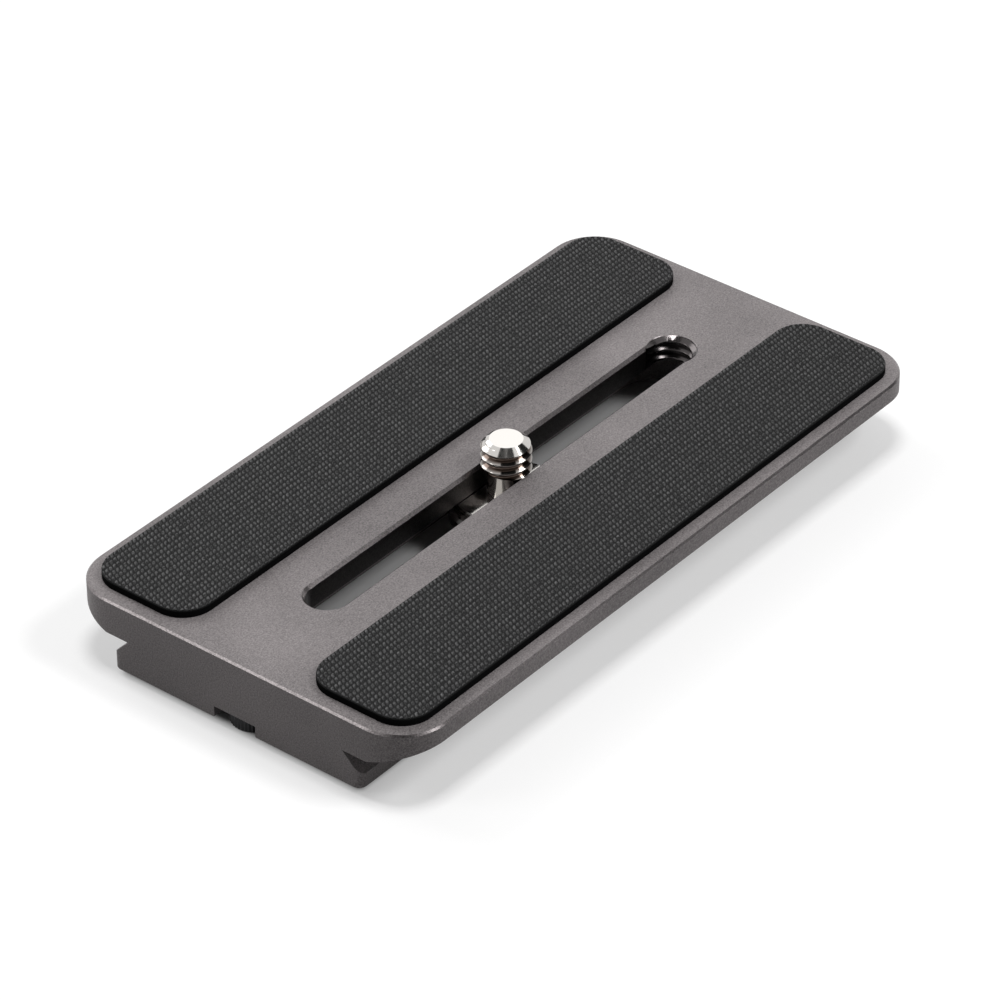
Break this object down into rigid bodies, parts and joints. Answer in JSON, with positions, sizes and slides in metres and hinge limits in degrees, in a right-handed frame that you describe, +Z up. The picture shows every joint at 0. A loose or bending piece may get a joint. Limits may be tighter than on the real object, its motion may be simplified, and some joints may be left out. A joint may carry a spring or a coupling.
{
  "type": "tripod quick release plate",
  "caption": "Flat tripod quick release plate with a dovetail underside, rubber strips on its slotted deck and a sliding captive camera screw with a folding ring.",
  "frame": {"origin": "under the centre of the plate, on the plane that the heads of the stop screws stand on", "axes": "+Z up through the camera screw, +X along the plate towards the threaded entry hole, +Y across the plate towards the left pad"},
  "size_m": [0.1, 0.0526, 0.0144],
  "materials": {
    "anodised_plate": "fine bead-blasted, grey anodised, satin",
    "rubber_pad": "black rubber with a fine embossed lattice",
    "polished_steel": "turned and polished stainless steel",
    "black_steel": "black oxide"
  },
  "bodies": {
    "plate": {"plate_body": "anodised_plate", "left_pad": "rubber_pad", "right_pad": "rubber_pad", "near_stop_screw": "black_steel", "far_stop_screw": "black_steel"},
    "slider": {"friction_washer": "polished_steel"},
    "screw": {"camera_screw": "polished_steel"},
    "ring": {"d_ring": "polished_steel"}
  },
  "joints": [
    {"name": "screw_slide", "type": "slide", "parent": "plate", "child": "slider", "axis": [1, 0, 0], "range_m": [-0.03345, 0.03315]},
    {"name": "screw_turn", "type": "hinge", "parent": "slider", "child": "screw", "pos_m": [0.00035, 0, 0.01015], "axis": [0, 0, 1], "continuous": true},
    {"name": "ring_fold", "type": "hinge", "parent": "screw", "child": "ring", "pos_m": [0.00035, 0, 0.0037], "axis": [0, -1, 0], "range_deg": [0, 180]}
  ]
}
